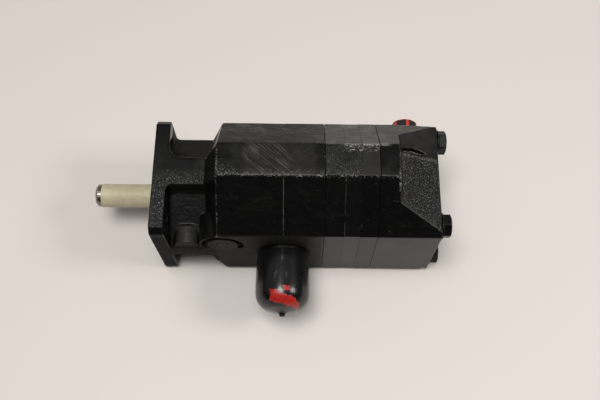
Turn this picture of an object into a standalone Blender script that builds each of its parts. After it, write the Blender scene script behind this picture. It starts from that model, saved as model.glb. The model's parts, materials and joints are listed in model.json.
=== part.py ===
"""A square-flanged gerotor hydraulic motor, standing on its flat underside.

The shaft runs along X and leaves the flange towards -X. The stack behind the flange is
a cast front housing, a port plate, an eccentric ring with the gerotor set inside it, a
second port plate and a sloping cast rear cover, all held by four long bolts.
Sizes below are in millimetres, measured from the shaft axis at the flange's front face.
"""

import math

import bmesh
import bpy
from mathutils import Matrix, Vector

MM = 0.001
GAP = 0.3  # between pieces that touch on the real motor
RUN = 0.1  # between pieces that slide or turn on each other

# Where the point "shaft axis at the flange face" lies, so that the whole motor stands on
# Z = 0 with its bounding box centred on the Z axis.
AXIS_X, AXIS_Y, AXIS_Z = -107.6, 22.65, 55.0

# Mounting flange and neck
FLANGE_HALF_Y, FLANGE_HALF_Z = 58.2, 55.0
FLANGE_CHAMFER = 6.0
FLANGE_THICK = 14.0
FLANGE_HOLE_AT = 37.6  # 106.4 mm bolt circle
FLANGE_HOLE_R = 6.75
NUT_SEAT_R, NUT_SEAT_DEEP = 11.5, 14.0
PILOT_R, PILOT_HIGH = 41.25, 2.8
NECK_END = 62.0
WEB_FRONT, WEB_BACK = 10.0, 17.6  # how far the web between the pockets reaches each way
POCKET_ROUND_FRONT, POCKET_ROUND_BACK = 5.0, 13.0
POCKET_FOOT = 2.0  # how deep the pockets reach under their sloping floors
SLOPE_TOP_Z, SLOPE_EDGE_Z = 38.0, 10.0
NECK_RISE_X = 49.2  # where the neck starts to swell up to the block
CASE_BOSS_X, CASE_BOSS_Z, CASE_BOSS_R = 31.0, 12.5, 12.0
CASE_BOSS_ROOT = -39.0
DRAIN_X, DRAIN_Z = 65.5, 21.0
DRAIN_BORE_R, DRAIN_PLUG_R = 6.3, 6.0
DRAIN_BOSS_R, BROW_R, BROW_THICK = 21.5, 17.6, 2.6
BROW_FROM, BROW_TO = -20, 174  # degrees

# Outline shared by the housing, plates, ring and cover
BODY_HALF = 58.0
BODY_BOTTOM = -FLANGE_HALF_Z
SHOULDER_Z = 47.5
RIDGE_FRONT, RIDGE_BACK = -13.4, 17.8
RIDGE_Z = 87.0
BOTTOM_CHAMFER = 7.0

# Joints of the stack along X
HOUSING_END = 161.0
FRONT_PLATE_END = 179.0
RING_END = 194.0
REAR_PLATE_END = 210.0
COVER_END = 269.0
RAMP_START, RAMP_TOP_Z, RAMP_END_Z = 228.5, 70.0, 51.0
COVER_TAPER = 5.2  # degrees, on the back side only
# Corners of the hollow in the ramp: X, Y and the depth below the ramp
HOLLOW_PLAN = (
    (232.0, 22.8, 4.5),
    (232.0, 18.8, 4.5),
    (248.5, 18.6, 3.2),
    (261.5, 21.2, 0.4),
    (243.0, 24.6, 3.5),
)

# Bolts through the stack
BOLT_Y, BOLT_Z = 43.0, 38.5
BOLT_R, BOLT_HOLE_R = 6.7, 7.2
BOLT_TIP = 124.0
BOLT_HEAD_R, BOLT_HEAD_HIGH = 11.8, 7.3
WASHER_R, WASHER_THICK = 12.6, 1.8
DOWEL_AT, DOWEL_Z, DOWEL_R = 52.0, -6.0, 3.0
DOWEL_START, DOWEL_STOP = 153.0, 208.0
FACE_SEAL_R, FACE_SEAL_WIRE_R = 40.0, 0.95
SEAL_GROOVE_IN, SEAL_GROOVE_OUT = 38.4, 41.6

# Gerotor set: the outer rotor has one lobe more than the inner
INNER_LOBES = 6
LOBE_CIRCLE = 34.0
LOBE_R = 9.0
OFFSET = 3.2
OUTER_ROTOR_R = 44.0
VALLEY_R = 32.2
MESH_PLAY = 0.17

# Shaft and what carries it
SHAFT_TIP = -63.5
OUTPUT_R = 11.1  # a 22.2 mm output end
WRAP_R = 11.85
SHAFT_R = 12.7
SHAFT_BIG_R = 17.0
SHAFT_REAR_R = 12.5
SHAFT_END = 206.0
BEARING_FRONT, BEARING_REAR = 14.0, 29.0
BEARING_R, BEARING_BORE_R = 26.0, 12.7
BALL_R, BALL_PITCH_R, BALLS = 3.97, 19.35, 9
GALLERY_R = 21.0
SEAL_FRONT, SEAL_REAR = 2.4, 10.4
SEAL_R = 23.5
BUSH_R = 15.5
SHAFT_STEP_X = 148.0  # where the shaft narrows towards the rotor
KEY_HALF, KEY_TOP_Z = 2.5, 15.4
OUTPUT_KEY_HALF, OUTPUT_KEY_DEEP, OUTPUT_KEY_STOP = 3.2, 3.0, -22.0
CAGE_HALF, CAGE_THICK = 5.2, 0.9
BEARING_EDGE = 0.6
WRAP_START, WRAP_STOP = -4.5, -57.8

# Ports
PORT_X = 122.5
ADAPTER_R, ADAPTER_BORE_R, ADAPTER_TIP = 22.3, 12.0, -92.0
PORT_THREAD_R = 16.0
CAP_MOUTH_R, CAP_R = 24.8, 26.1
CAP_MOUTH, CAP_SHOULDER, CAP_NIB = -60.0, -104.0, -121.3
REAR_PORT_X, REAR_PORT_Z = 243.0, 14.0
REAR_PORT_R = 11.0
REAR_PORT_SEAT = 55.0
REAR_SPOT_R = 15.5
PLUG_HEAD_R, PLUG_OUT = 13.2, 76.0
SPOT_FACE_R = 25.0
PORT_DEEP, REAR_PORT_DEEP, DRAIN_DEEP = -30.0, 40.0, -48.0
COVER_GALLERY_Y, COVER_GALLERY_Z, COVER_GALLERY_R = 26.0, 4.0, 8.0

# ---------------------------------------------------------------- scene and materials


def clear_scene():
    for obj in list(bpy.data.objects):
        bpy.data.objects.remove(obj, do_unlink=True)


def new_collection(name):
    made = bpy.data.collections.new(name)
    bpy.context.scene.collection.children.link(made)
    return made


def new_material(name, color, roughness, metallic):
    made = bpy.data.materials.new(name)
    made.use_nodes = True
    shader = made.node_tree.nodes["Principled BSDF"]
    shader.inputs["Base Color"].default_value = (*color, 1.0)
    shader.inputs["Roughness"].default_value = roughness
    shader.inputs["Metallic"].default_value = metallic
    return made


clear_scene()
PARTS = new_collection("hydraulic_motor")
CUTTERS = new_collection("cutters")
FRAME = bpy.data.objects.new("shaft_axis_at_flange", None)
FRAME.location = (AXIS_X * MM, AXIS_Y * MM, AXIS_Z * MM)
PARTS.objects.link(FRAME)

BLACK_PAINT = new_material("black_paint", (0.012, 0.012, 0.013), 0.38, 0.0)
BRIGHT_STEEL = new_material("bright_steel", (0.62, 0.61, 0.59), 0.28, 1.0)
DARK_STEEL = new_material("dark_steel", (0.05, 0.05, 0.052), 0.42, 0.9)
HARD_STEEL = new_material("hard_steel", (0.48, 0.48, 0.47), 0.22, 1.0)
BRONZE = new_material("bronze", (0.50, 0.31, 0.13), 0.35, 1.0)
SEAL_RUBBER = new_material("seal_rubber", (0.02, 0.02, 0.02), 0.6, 0.0)
BLACK_VINYL = new_material("black_vinyl", (0.015, 0.015, 0.016), 0.25, 0.0)
CREAM_TAPE = new_material("cream_tape", (0.70, 0.64, 0.42), 0.55, 0.0)

# ---------------------------------------------------------------------- shape helpers


def place(obj, material, cutter=False):
    """Put an object into its collection, under the motor's frame."""
    if cutter:
        CUTTERS.objects.link(obj)
        obj.hide_render = True
        obj.display_type = "WIRE"
    else:
        PARTS.objects.link(obj)
        obj.data.materials.append(material)
    obj.parent = FRAME
    return obj


def mesh_of(name, build):
    """A mesh filled by build(bm), in metres."""
    bm = bmesh.new()
    build(bm)
    bmesh.ops.recalc_face_normals(bm, faces=bm.faces)
    mesh = bpy.data.meshes.new(name)
    bm.to_mesh(mesh)
    bm.free()
    return mesh


def round_off(mesh, degrees=35):
    mesh.shade_smooth()
    mesh.set_sharp_from_angle(angle=math.radians(degrees))


def prism(name, loops, x0, x1, material, cutter=False):
    """A flat outline in (Y, Z), with its holes, standing from X = x0 to X = x1."""
    curve = bpy.data.curves.new(name + "_outline", "CURVE")
    curve.dimensions = "2D"
    curve.fill_mode = "BOTH"
    curve.extrude = (x1 - x0) / 2 * MM
    for loop in loops:
        spline = curve.splines.new("POLY")
        spline.points.add(len(loop) - 1)
        spline.use_cyclic_u = True
        for point, (y, z) in zip(spline.points, loop):
            point.co = (y * MM, z * MM, 0, 1)
    flat = bpy.data.objects.new(name + "_outline", curve)
    bpy.context.scene.collection.objects.link(flat)
    mesh = bpy.data.meshes.new_from_object(
        flat.evaluated_get(bpy.context.evaluated_depsgraph_get())
    )
    bpy.data.objects.remove(flat, do_unlink=True)
    bm = bmesh.new()
    bm.from_mesh(mesh)
    bmesh.ops.remove_doubles(bm, verts=bm.verts, dist=1e-6)
    bmesh.ops.recalc_face_normals(bm, faces=bm.faces)
    bm.to_mesh(mesh)
    bm.free()
    turn = Matrix.Rotation(math.pi / 2, 4, "Z") @ Matrix.Rotation(math.pi / 2, 4, "X")
    mesh.transform(Matrix.Translation(((x0 + x1) / 2 * MM, 0, 0)) @ turn)
    mesh.materials.clear()
    round_off(mesh)
    obj = bpy.data.objects.new(name, mesh)
    return place(obj, material, cutter)


def turned(name, profile, material, steps=32, closed=False, cutter=False):
    """A shape turned about local Z. profile lists (radius, height) down its outer side.

    The local axis is laid along X, so height becomes X.
    """
    bm = bmesh.new()
    points = [bm.verts.new((r * MM, 0, h * MM)) for r, h in profile]
    pairs = list(zip(points, points[1:]))
    if closed:
        pairs.append((points[-1], points[0]))
    for pair in pairs:
        bm.edges.new(pair)
    mesh = bpy.data.meshes.new(name)
    bm.to_mesh(mesh)
    bm.free()
    obj = bpy.data.objects.new(name, mesh)
    screw = obj.modifiers.new("turn", "SCREW")
    screw.steps = screw.render_steps = steps
    screw.use_merge_vertices = True
    screw.merge_threshold = 1e-5
    screw.use_smooth_shade = True
    obj.rotation_euler = (0, math.pi / 2, 0)
    return place(obj, material, cutter)


def ring_profile(r_in, r_out, x0, x1, edge=0.0):
    """Closed profile of a plain ring, with chamfered outer edges."""
    return [
        (r_out - edge, x1),
        (r_out, x1 - edge),
        (r_out, x0 + edge),
        (r_out - edge, x0),
        (r_in, x0),
        (r_in, x1),
    ] if edge else [(r_out, x1), (r_out, x0), (r_in, x0), (r_in, x1)]


def disc_profile(r, x0, x1, edge=0.0):
    """Open profile of a plain round bar from the axis out and back to the axis."""
    if edge:
        return [(0, x1), (r - edge, x1), (r, x1 - edge), (r, x0 + edge), (r - edge, x0), (0, x0)]
    return [(0, x1), (r, x1), (r, x0), (0, x0)]


def torus_profile(r_major, x, r_minor, sides=6):
    """Closed round profile of an O-ring centred on the shaft axis."""
    angles = [math.pi / 2 - 2 * math.pi * (i + 0.5) / sides for i in range(sides)]
    return [(r_major + r_minor * math.cos(a), x + r_minor * math.sin(a)) for a in angles]


def block(name, low, high, cutter=False, material=None, rounding=0.0, segments=3):
    """A box between two corners, in millimetres, with rounded edges where asked."""
    low, high = Vector(low), Vector(high)
    size = high - low

    def build(bm):
        bmesh.ops.create_cube(bm, size=1.0)
        bmesh.ops.transform(
            bm,
            matrix=Matrix.Translation((low + high) / 2 * MM)
            @ Matrix.Diagonal((*(size * MM), 1.0)),
            verts=bm.verts,
        )

    obj = bpy.data.objects.new(name, mesh_of(name, build))
    if rounding:
        bevel = obj.modifiers.new("rounding", "BEVEL")
        bevel.width = rounding * MM
        bevel.segments = segments
    return place(obj, material, cutter)


def rod(name, start, end, radius, cutter=False, material=None, sides=32):
    """A round bar from start to end, in millimetres."""
    start, end = Vector(start), Vector(end)
    along = end - start

    def build(bm):
        bmesh.ops.create_cone(
            bm,
            cap_ends=True,
            segments=sides,
            radius1=radius * MM,
            radius2=radius * MM,
            depth=along.length * MM,
        )
        turn = Vector((0, 0, 1)).rotation_difference(along).to_matrix().to_4x4()
        bmesh.ops.transform(
            bm, matrix=Matrix.Translation((start + end) / 2 * MM) @ turn, verts=bm.verts
        )

    mesh = mesh_of(name, build)
    round_off(mesh)
    return place(bpy.data.objects.new(name, mesh), material, cutter)


def boolean(target, other, operation="DIFFERENCE"):
    step = target.modifiers.new(operation.lower() + "_" + other.name, "BOOLEAN")
    step.operation = operation
    step.object = other
    step.solver = "EXACT"


def cut(target, *cutters):
    for cutter in cutters:
        boolean(target, cutter)


def circle(y, z, radius, sides=32, start=0.0):
    angles = [start + 2 * math.pi * i / sides for i in range(sides)]
    return [(y + radius * math.cos(a), z + radius * math.sin(a)) for a in angles]


def four_corners(y, z):
    return [(y, z), (-y, z), (-y, -z), (y, -z)]


# ----------------------------------------------------------------------- the outlines


def body_outline(shrink=0.0):
    """Square below, with two long slopes that rise to a narrow flat ridge."""
    half, draw_in = BODY_HALF - shrink, shrink / 3
    low, top = BODY_BOTTOM + shrink, RIDGE_Z - shrink
    return [
        (-half, low + BOTTOM_CHAMFER),
        (-half + BOTTOM_CHAMFER, low),
        (half - BOTTOM_CHAMFER, low),
        (half, low + BOTTOM_CHAMFER),
        (half, SHOULDER_Z),
        (RIDGE_BACK - draw_in, top),
        (RIDGE_FRONT + draw_in, top),
        (-half, SHOULDER_Z),
    ]


def flange_outline():
    wide, high, cut_off = FLANGE_HALF_Y, FLANGE_HALF_Z, FLANGE_CHAMFER
    return [
        (-wide, -high + cut_off),
        (-wide + cut_off, -high),
        (wide - cut_off, -high),
        (wide, -high + cut_off),
        (wide, high - cut_off),
        (wide - cut_off, high),
        (-wide + cut_off, high),
        (-wide, high - cut_off),
    ]


def kidney(side, r_in=20.5, r_out=30.5, half_angle=58, steps=10):
    """An arc-shaped port on one side of the shaft: side is -1 for front, +1 for back."""
    span = [math.radians(half_angle * (2 * i / steps - 1)) for i in range(steps + 1)]
    outer = [(side * r_out * math.cos(a), r_out * math.sin(a)) for a in span]
    inner = [(side * r_in * math.cos(a), r_in * math.sin(a)) for a in reversed(span)]
    return outer + inner


def bolt_holes():
    return [circle(y, z, BOLT_HOLE_R, 16) for y, z in four_corners(BOLT_Y, BOLT_Z)]


def dowel_holes():
    return [circle(y, DOWEL_Z, DOWEL_R + GAP, 16) for y in (-DOWEL_AT, DOWEL_AT)]


def gerotor_turn(p, q):
    """Gear-plane point (p, q) as (Y, Z): the outer rotor's centre is offset towards +Z."""
    return (q, -p)


def inner_rotor_outline(per_lobe=32):
    """The curve that stays in contact with every lobe of the outer rotor."""
    count = INNER_LOBES * per_lobe
    outer_lobes = INNER_LOBES + 1
    points = []
    for i in range(count):
        a = 2 * math.pi * i / count
        lean = math.atan2(
            math.sin(INNER_LOBES * a),
            math.cos(INNER_LOBES * a) - LOBE_CIRCLE / (OFFSET * outer_lobes),
        )
        reach = LOBE_R + MESH_PLAY
        p = LOBE_CIRCLE * math.cos(a) + reach * math.cos(a + lean) - OFFSET * math.cos(outer_lobes * a)
        q = -LOBE_CIRCLE * math.sin(a) - reach * math.sin(a + lean) + OFFSET * math.sin(outer_lobes * a)
        points.append(gerotor_turn(p, q))
    return points


def outer_rotor_hollow(lobe_steps=16, valley_steps=6):
    """Seven round lobes joined by round valleys, about the outer rotor's centre."""
    lobes = INNER_LOBES + 1
    pitch = 2 * math.pi / lobes
    squares = LOBE_CIRCLE**2 + LOBE_R**2 - VALLEY_R**2
    widest = math.acos(squares / (2 * LOBE_CIRCLE * LOBE_R))
    root = math.atan2(LOBE_R * math.sin(widest), LOBE_CIRCLE - LOBE_R * math.cos(widest))
    points = []
    for k in range(lobes):
        for i in range(lobe_steps + 1):
            b = widest * (2 * i / lobe_steps - 1)
            p, q = LOBE_CIRCLE - LOBE_R * math.cos(b), LOBE_R * math.sin(b)
            a, radius = k * pitch + math.atan2(q, p), math.hypot(p, q)
            points.append((radius * math.cos(a), radius * math.sin(a)))
        for i in range(1, valley_steps):
            a = k * pitch + root + (pitch - 2 * root) * i / valley_steps
            points.append((VALLEY_R * math.cos(a), VALLEY_R * math.sin(a)))
    turned_points = [gerotor_turn(p, q) for p, q in points]
    return [(y, z + OFFSET) for y, z in turned_points]


def keyed_bore(radius, key_half, key_top, sides=40):
    """A bore with a square key slot in its upper side."""
    start = math.asin(key_half / radius)
    sweep = 2 * math.pi - 2 * start
    arc = [math.pi / 2 + start + sweep * i / sides for i in range(sides + 1)]
    points = [(radius * math.cos(a), radius * math.sin(a)) for a in arc]
    return points + [(key_half, key_top), (-key_half, key_top)]


# ------------------------------------------------------------------- castings and plates


def make_front_housing():
    """Flange, four-pocket neck and the long sloped block, cast in one piece."""
    housing = prism(
        "front_housing", [body_outline()], NECK_END, HOUSING_END - GAP / 2, BLACK_PAINT
    )
    neck = prism("neck_block", [flange_outline()], 0, NECK_END + 0.6, None, cutter=True)
    pilot = turned("pilot", disc_profile(PILOT_R, -PILOT_HIGH, 4, 0.8), None, 48, cutter=True)
    boolean(housing, neck, "UNION")
    boolean(housing, pilot, "UNION")
    for side_y in (-1, 1):
        for side_z in (-1, 1):
            web = WEB_FRONT if side_y < 0 else WEB_BACK
            ends_y = sorted((side_y * web, side_y * 100))
            ends_z = sorted((side_z * POCKET_FOOT, side_z * 100))
            name = f"pocket_{'front' if side_y < 0 else 'back'}_{'low' if side_z < 0 else 'top'}"
            corner = block(
                name,
                (FLANGE_THICK, ends_y[0], ends_z[0]),
                (NECK_END + 1, ends_y[1], ends_z[1]),
                cutter=True,
                rounding=POCKET_ROUND_FRONT if side_y < 0 else POCKET_ROUND_BACK,
                segments=4,
            )
            cut(housing, corner)
    for side in (-1, 1):
        web = WEB_FRONT if side < 0 else WEB_BACK
        edge_y = FLANGE_HALF_Y - 0.3
        upper = [(web - 4, SLOPE_TOP_Z), (web + 1, SLOPE_TOP_Z), (edge_y, SLOPE_EDGE_Z)]
        lower = [(y, -z) for y, z in reversed(upper)]
        slope = prism(
            f"neck_slope_{'front' if side < 0 else 'back'}",
            [[(side * y, z) for y, z in upper + lower]],
            FLANGE_THICK - 4,
            NECK_END + 3,
            None,
            cutter=True,
        )
        boolean(housing, slope, "UNION")
    boolean(housing, make_neck_rise(), "UNION")
    case_boss = rod(
        "case_boss",
        (CASE_BOSS_X, -FLANGE_HALF_Y + 1.2, CASE_BOSS_Z),
        (CASE_BOSS_X, CASE_BOSS_ROOT, CASE_BOSS_Z),
        CASE_BOSS_R,
        True,
        sides=28,
    )
    drain_boss = rod(
        "drain_boss",
        (DRAIN_X, -BODY_HALF + 0.15, DRAIN_Z),
        (DRAIN_X, -30, DRAIN_Z),
        DRAIN_BOSS_R,
        True,
        sides=36,
    )
    boolean(housing, case_boss, "UNION")
    boolean(housing, drain_boss, "UNION")
    bore = turned(
        "housing_bore",
        [
            (0, HOUSING_END + 5),
            (GALLERY_R, HOUSING_END + 5),
            (GALLERY_R, BEARING_REAR + GAP),
            (BEARING_R + GAP, BEARING_REAR + GAP),
            (BEARING_R + GAP, BEARING_FRONT - GAP),
            (SHAFT_BIG_R + 1, BEARING_FRONT - GAP),
            (SHAFT_BIG_R + 1, SEAL_REAR + GAP),
            (SEAL_R + GAP, SEAL_REAR + GAP),
            (SEAL_R + GAP, -PILOT_HIGH - 5),
            (0, -PILOT_HIGH - 5),
        ],
        None,
        40,
        cutter=True,
    )
    cut(housing, bore)
    snap_groove = turned(
        "snap_groove", ring_profile(SEAL_R - 1, SEAL_R + 1.6, 0.2, 2.0), None, 40, True, True
    )
    cut(housing, snap_groove)
    for number, (y, z) in enumerate(four_corners(FLANGE_HOLE_AT, FLANGE_HOLE_AT), 1):
        hole = rod(
            f"mount_hole_{number}", (-5, y, z), (FLANGE_THICK + 9, y, z), FLANGE_HOLE_R, True, sides=24
        )
        seat = rod(
            f"nut_seat_{number}",
            (FLANGE_THICK - 0.4, y, z),
            (FLANGE_THICK + NUT_SEAT_DEEP, y, z),
            NUT_SEAT_R,
            True,
            sides=28,
        )
        cut(housing, hole, seat)
    for number, (y, z) in enumerate(four_corners(BOLT_Y, BOLT_Z), 1):
        hole = rod(f"bolt_hole_{number}", (BOLT_TIP - 4, y, z), (170, y, z), BOLT_HOLE_R, True, sides=16)
        cut(housing, hole)
    for side in (-1, 1):
        hole = rod(
            f"dowel_hole_{'front' if side < 0 else 'back'}",
            (DOWEL_START - 1, side * DOWEL_AT, DOWEL_Z),
            (HOUSING_END + 9, side * DOWEL_AT, DOWEL_Z),
            DOWEL_R + GAP,
            True,
            sides=16,
        )
        cut(housing, hole)
    port = rod(
        "port_bore", (PORT_X, -BODY_HALF - 5, 0), (PORT_X, -20, 0), PORT_THREAD_R + GAP, True, sides=40
    )
    cut(housing, port)
    face = rod(
        "port_spot_face",
        (PORT_X, -BODY_HALF - 5, 0),
        (PORT_X, -BODY_HALF + 1, 0),
        SPOT_FACE_R,
        True,
        sides=48,
    )
    cut(housing, face)
    groove = ring_profile(SEAL_GROOVE_IN, SEAL_GROOVE_OUT, HOUSING_END - 2, HOUSING_END + 4)
    seal = turned("housing_seal_groove", groove, None, 32, True, True)
    cut(housing, seal)
    drain = rod(
        "drain_bore",
        (DRAIN_X, -BODY_HALF - 5, DRAIN_Z),
        (DRAIN_X, DRAIN_DEEP + 3, DRAIN_Z),
        DRAIN_BORE_R,
        True,
        sides=24,
    )
    cut(housing, drain)
    brow = arched_groove(DRAIN_X, -FLANGE_HALF_Y - 0.45, DRAIN_Z, BROW_R, BROW_THICK)
    cut(housing, brow)
    return housing


def make_neck_rise():
    """The cast swelling that carries the neck's section up to the larger block."""
    edge_y, inset = FLANGE_HALF_Y - 1.5, 0.3
    half, low = BODY_HALF - inset, BODY_BOTTOM + inset
    front, back = 0.9 - WEB_FRONT, WEB_BACK - 0.9
    foot, edge, web_top = SLOPE_TOP_Z - 0.8, SLOPE_EDGE_Z - 0.8, FLANGE_HALF_Z - 0.7
    neck = [
        (-edge_y, -edge),
        (front, -foot),
        (back, -foot),
        (edge_y, -edge),
        (edge_y, edge),
        (back, foot),
        (back, web_top),
        (front, web_top),
        (front, foot),
        (-edge_y, edge),
    ]
    block_end = [
        (-half, low + BOTTOM_CHAMFER),
        (-half + BOTTOM_CHAMFER, low),
        (half - BOTTOM_CHAMFER, low),
        (half, low + BOTTOM_CHAMFER),
        (half, SHOULDER_Z - 0.1),
        (RIDGE_BACK + 4.2, RIDGE_Z - 4.4),
        (RIDGE_BACK - 0.2, RIDGE_Z - inset),
        (RIDGE_FRONT + 0.2, RIDGE_Z - inset),
        (RIDGE_FRONT - 4.6, RIDGE_Z - 4.4),
        (-half, SHOULDER_Z - 0.1),
    ]
    count = len(neck)

    def build(bm):
        rings = [
            [bm.verts.new((x * MM, y * MM, z * MM)) for y, z in outline]
            for x, outline in ((NECK_RISE_X, neck), (NECK_END + 0.45, block_end))
        ]
        for ring in rings:
            bm.faces.new(ring)
        for i in range(count):
            j = (i + 1) % count
            bm.faces.new((rings[0][i], rings[0][j], rings[1][j], rings[1][i]))
        bmesh.ops.triangulate(bm, faces=bm.faces)

    return place(bpy.data.objects.new("neck_rise", mesh_of("neck_rise", build)), None, cutter=True)


def arched_groove(x, y, z, radius, thick):
    """A round-bottomed groove that arches over the drain plug's seat."""
    curve = bpy.data.curves.new("brow_path", "CURVE")
    curve.dimensions = "3D"
    curve.bevel_depth = thick * MM
    curve.bevel_resolution = 2
    curve.use_fill_caps = True
    spline = curve.splines.new("POLY")
    steps = 12
    spline.points.add(steps)
    for i, point in enumerate(spline.points):
        a = math.radians(BROW_FROM + (BROW_TO - BROW_FROM) * i / steps)
        place_at = (x + radius * math.cos(a), y, z + radius * math.sin(a))
        point.co = (*[value * MM for value in place_at], 1)
    wire = bpy.data.objects.new("brow_path", curve)
    bpy.context.scene.collection.objects.link(wire)
    mesh = bpy.data.meshes.new_from_object(
        wire.evaluated_get(bpy.context.evaluated_depsgraph_get())
    )
    bpy.data.objects.remove(wire, do_unlink=True)
    bm = bmesh.new()
    bm.from_mesh(mesh)
    bmesh.ops.remove_doubles(bm, verts=bm.verts, dist=1e-6)
    bmesh.ops.recalc_face_normals(bm, faces=bm.faces)
    bm.to_mesh(mesh)
    bm.free()
    return place(bpy.data.objects.new("brow_groove", mesh), None, cutter=True)


def make_port_plate(name, x0, x1, side, shrink):
    """A plate with one kidney port, a bushing bore and a seal groove towards the ring."""
    loops = [body_outline(shrink), kidney(side), circle(0, 0, BUSH_R + GAP, 40)]
    plate = prism(name, loops + bolt_holes() + dowel_holes(), x0 + GAP / 2, x1 - GAP / 2, BLACK_PAINT)
    return plate


def make_eccentric_ring():
    bore = circle(0, OFFSET, OUTER_ROTOR_R + RUN, 60)
    loops = [body_outline(0.5), bore] + bolt_holes() + dowel_holes()
    return prism(
        "eccentric_ring", loops, FRONT_PLATE_END + GAP / 2, RING_END - GAP / 2, BLACK_PAINT
    )


def make_rear_cover():
    """The cover's ridge slopes down to the rear, and its back carries the second port."""
    cover = prism(
        "rear_cover", [body_outline()], REAR_PLATE_END + GAP / 2, COVER_END, BLACK_PAINT
    )
    fall = math.atan2(RAMP_TOP_Z - RAMP_END_Z, COVER_END - RAMP_START)
    past = COVER_END + 6
    ramp = [
        (RAMP_START - 1, RIDGE_Z + 10),
        (RAMP_START + 1, RAMP_TOP_Z),
        (past, RAMP_END_Z - 6 * math.tan(fall)),
        (past, RIDGE_Z + 10),
    ]
    wedge = prism("ramp_cutter", [[(-x, z) for x, z in ramp]], -90, 90, None, cutter=True)
    wedge.rotation_euler = (0, 0, math.pi / 2)
    cut(cover, wedge)
    side = block("cover_side_taper", (0, 0, -70), (90, 20, 100), cutter=True)
    side.location = ((REAR_PLATE_END + 6) * MM, (BODY_HALF + 0.6) * MM, 0)
    side.rotation_euler = (0, 0, -math.radians(COVER_TAPER))
    cut(cover, side)
    cut(cover, make_cover_hollow())
    for number, (y, z) in enumerate(four_corners(BOLT_Y, BOLT_Z), 1):
        hole = rod(f"cover_bolt_hole_{number}", (200, y, z), (280, y, z), BOLT_HOLE_R, True, sides=16)
        cut(cover, hole)
    gallery = rod(
        "cover_gallery",
        (REAR_PLATE_END - 10, COVER_GALLERY_Y, COVER_GALLERY_Z),
        (REAR_PORT_X + 8, COVER_GALLERY_Y, COVER_GALLERY_Z),
        COVER_GALLERY_R,
        True,
        sides=24,
    )
    port = rod(
        "rear_port_bore",
        (REAR_PORT_X, 20, REAR_PORT_Z),
        (REAR_PORT_X, 70, REAR_PORT_Z),
        REAR_PORT_R + GAP,
        True,
        sides=32,
    )
    spot = rod(
        "rear_port_spot_face",
        (REAR_PORT_X, REAR_PORT_SEAT, REAR_PORT_Z),
        (REAR_PORT_X, 70, REAR_PORT_Z),
        REAR_SPOT_R,
        True,
        sides=40,
    )
    cut(cover, gallery, port, spot)
    groove = ring_profile(
        SEAL_GROOVE_IN, SEAL_GROOVE_OUT, REAR_PLATE_END - 5, REAR_PLATE_END + 2
    )
    seal = turned("cover_seal_groove", groove, None, 32, True, True)
    cut(cover, seal)
    return cover


def make_cover_hollow():
    """A shallow leaf-shaped hollow cast into the ramp, deepest next to the ridge."""
    count = len(HOLLOW_PLAN)

    def build(bm):
        floor = [
            bm.verts.new((x * MM, y * MM, (ramp_z(x) - deep) * MM)) for x, y, deep in HOLLOW_PLAN
        ]
        roof = [bm.verts.new((x * MM, y * MM, (RIDGE_Z + 5) * MM)) for x, y, deep in HOLLOW_PLAN]
        bm.faces.new(floor)
        bm.faces.new(roof)
        for i in range(count):
            j = (i + 1) % count
            bm.faces.new((floor[i], floor[j], roof[j], roof[i]))
        bmesh.ops.triangulate(bm, faces=bm.faces)

    mesh = mesh_of("cover_hollow", build)
    return place(bpy.data.objects.new("cover_hollow", mesh), None, cutter=True)


def ramp_z(x):
    share = (x - RAMP_START) / (COVER_END - RAMP_START)
    return RAMP_TOP_Z + (RAMP_END_Z - RAMP_TOP_Z) * share


# ----------------------------------------------------------------------- moving pieces


def make_shaft():
    """Stepped output shaft with a keyway at each end."""
    shaft = turned(
        "output_shaft",
        [
            (0, SHAFT_END),
            (SHAFT_REAR_R - 0.8, SHAFT_END),
            (SHAFT_REAR_R, SHAFT_END - 0.8),
            (SHAFT_REAR_R, SHAFT_STEP_X + 2),
            (SHAFT_BIG_R, SHAFT_STEP_X),
            (SHAFT_BIG_R, BEARING_REAR + GAP),
            (SHAFT_REAR_R, BEARING_REAR + GAP),
            (SHAFT_REAR_R, 12),
            (SHAFT_R, 11.8),
            (SHAFT_R, -2.0),
            (OUTPUT_R, -3.6),
            (OUTPUT_R, SHAFT_TIP + 2),
            (OUTPUT_R - 2, SHAFT_TIP),
            (0, SHAFT_TIP),
        ],
        BRIGHT_STEEL,
        36,
    )
    rotor_slot = block(
        "rotor_key_slot",
        (FRONT_PLATE_END + 1, -KEY_HALF - GAP / 2, SHAFT_REAR_R - 3),
        (RING_END - 1, KEY_HALF + GAP / 2, 20),
        cutter=True,
    )
    output_slot = block(
        "output_key_slot",
        (SHAFT_TIP + 8, -OUTPUT_KEY_HALF, -20),
        (OUTPUT_KEY_STOP, OUTPUT_KEY_HALF, -OUTPUT_R + OUTPUT_KEY_DEEP),
        cutter=True,
    )
    cut(shaft, rotor_slot, output_slot)
    return shaft


def make_inner_rotor():
    bore = keyed_bore(SHAFT_REAR_R + GAP, KEY_HALF + GAP / 2, KEY_TOP_Z)
    loops = [inner_rotor_outline(), bore]
    return prism(
        "inner_rotor", loops, FRONT_PLATE_END - GAP / 2 + RUN, RING_END + GAP / 2 - RUN, HARD_STEEL
    )


def make_outer_rotor():
    loops = [circle(0, OFFSET, OUTER_ROTOR_R, 60), outer_rotor_hollow()]
    return prism(
        "outer_rotor", loops, FRONT_PLATE_END - GAP / 2 + RUN, RING_END + GAP / 2 - RUN, HARD_STEEL
    )


def make_ball(name, x, y, z):
    def build(bm):
        bmesh.ops.create_icosphere(bm, subdivisions=2, radius=BALL_R * MM)
        bmesh.ops.translate(bm, vec=Vector((x, y, z)) * MM, verts=bm.verts)

    mesh = mesh_of(name, build)
    mesh.shade_smooth()
    place(bpy.data.objects.new(name, mesh), HARD_STEEL)


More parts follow.
